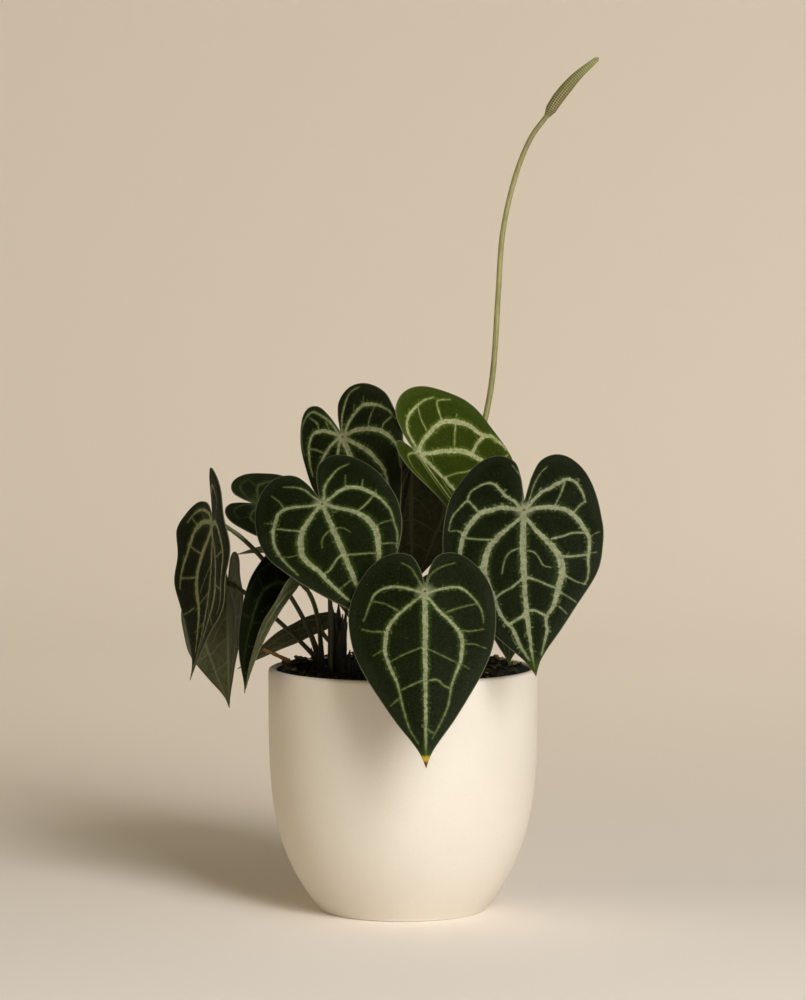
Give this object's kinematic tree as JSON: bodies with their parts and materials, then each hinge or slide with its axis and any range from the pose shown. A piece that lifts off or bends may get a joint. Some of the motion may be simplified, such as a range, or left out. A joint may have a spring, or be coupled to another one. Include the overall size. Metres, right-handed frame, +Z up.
{
  "type": "potted anthurium",
  "caption": "House plant with heart-shaped dark leaves and pale veins, and a tall flower spike, in a plain cream stoneware pot.",
  "frame": {"origin": "centre of the pot's flat underside", "axes": "+Z up along the pot's axis; -Y towards the viewer of the picture, where the largest leaf hangs over the rim; +X to the right"},
  "size_m": [0.2237, 0.2228, 0.445],
  "materials": {
    "stoneware": "matte",
    "soil": "matte",
    "leaf": "satin",
    "young_leaf": "satin",
    "stalk": "satin",
    "sheath": "matte",
    "dry": "matte",
    "spadix": "matte"
  },
  "bodies": {
    "root": {"pot": "stoneware", "soil": "soil", "crown_main": "sheath", "crown_side": "sheath", "leaf_front": "leaf", "leaf_left": "leaf", "leaf_right": "leaf", "leaf_top_left": "leaf", "leaf_top_right": "young_leaf", "leaf_far_left": "leaf", "leaf_far_left_low": "leaf", "leaf_left_behind": "leaf", "leaf_left_folded": "leaf", "leaf_left_low": "leaf", "leaf_left_back": "leaf", "leaf_right_inner": "leaf", "leaf_back": "leaf", "leaf_back_right": "leaf", "leaf_back_low": "leaf", "stalk_front": "stalk", "stalk_left": "stalk", "stalk_right": "stalk", "stalk_top_left": "stalk", "stalk_top_right": "stalk", "stalk_far_left": "stalk", "stalk_far_left_low": "stalk", "stalk_left_behind": "stalk", "stalk_left_folded": "stalk", "stalk_left_low": "stalk", "stalk_left_back": "stalk", "stalk_right_inner": "stalk", "stalk_back": "stalk", "stalk_back_right": "stalk", "stalk_back_low": "stalk", "peduncle": "stalk", "spadix": "spadix", "dry_stalk": "dry"}
  },
  "joints": []
}
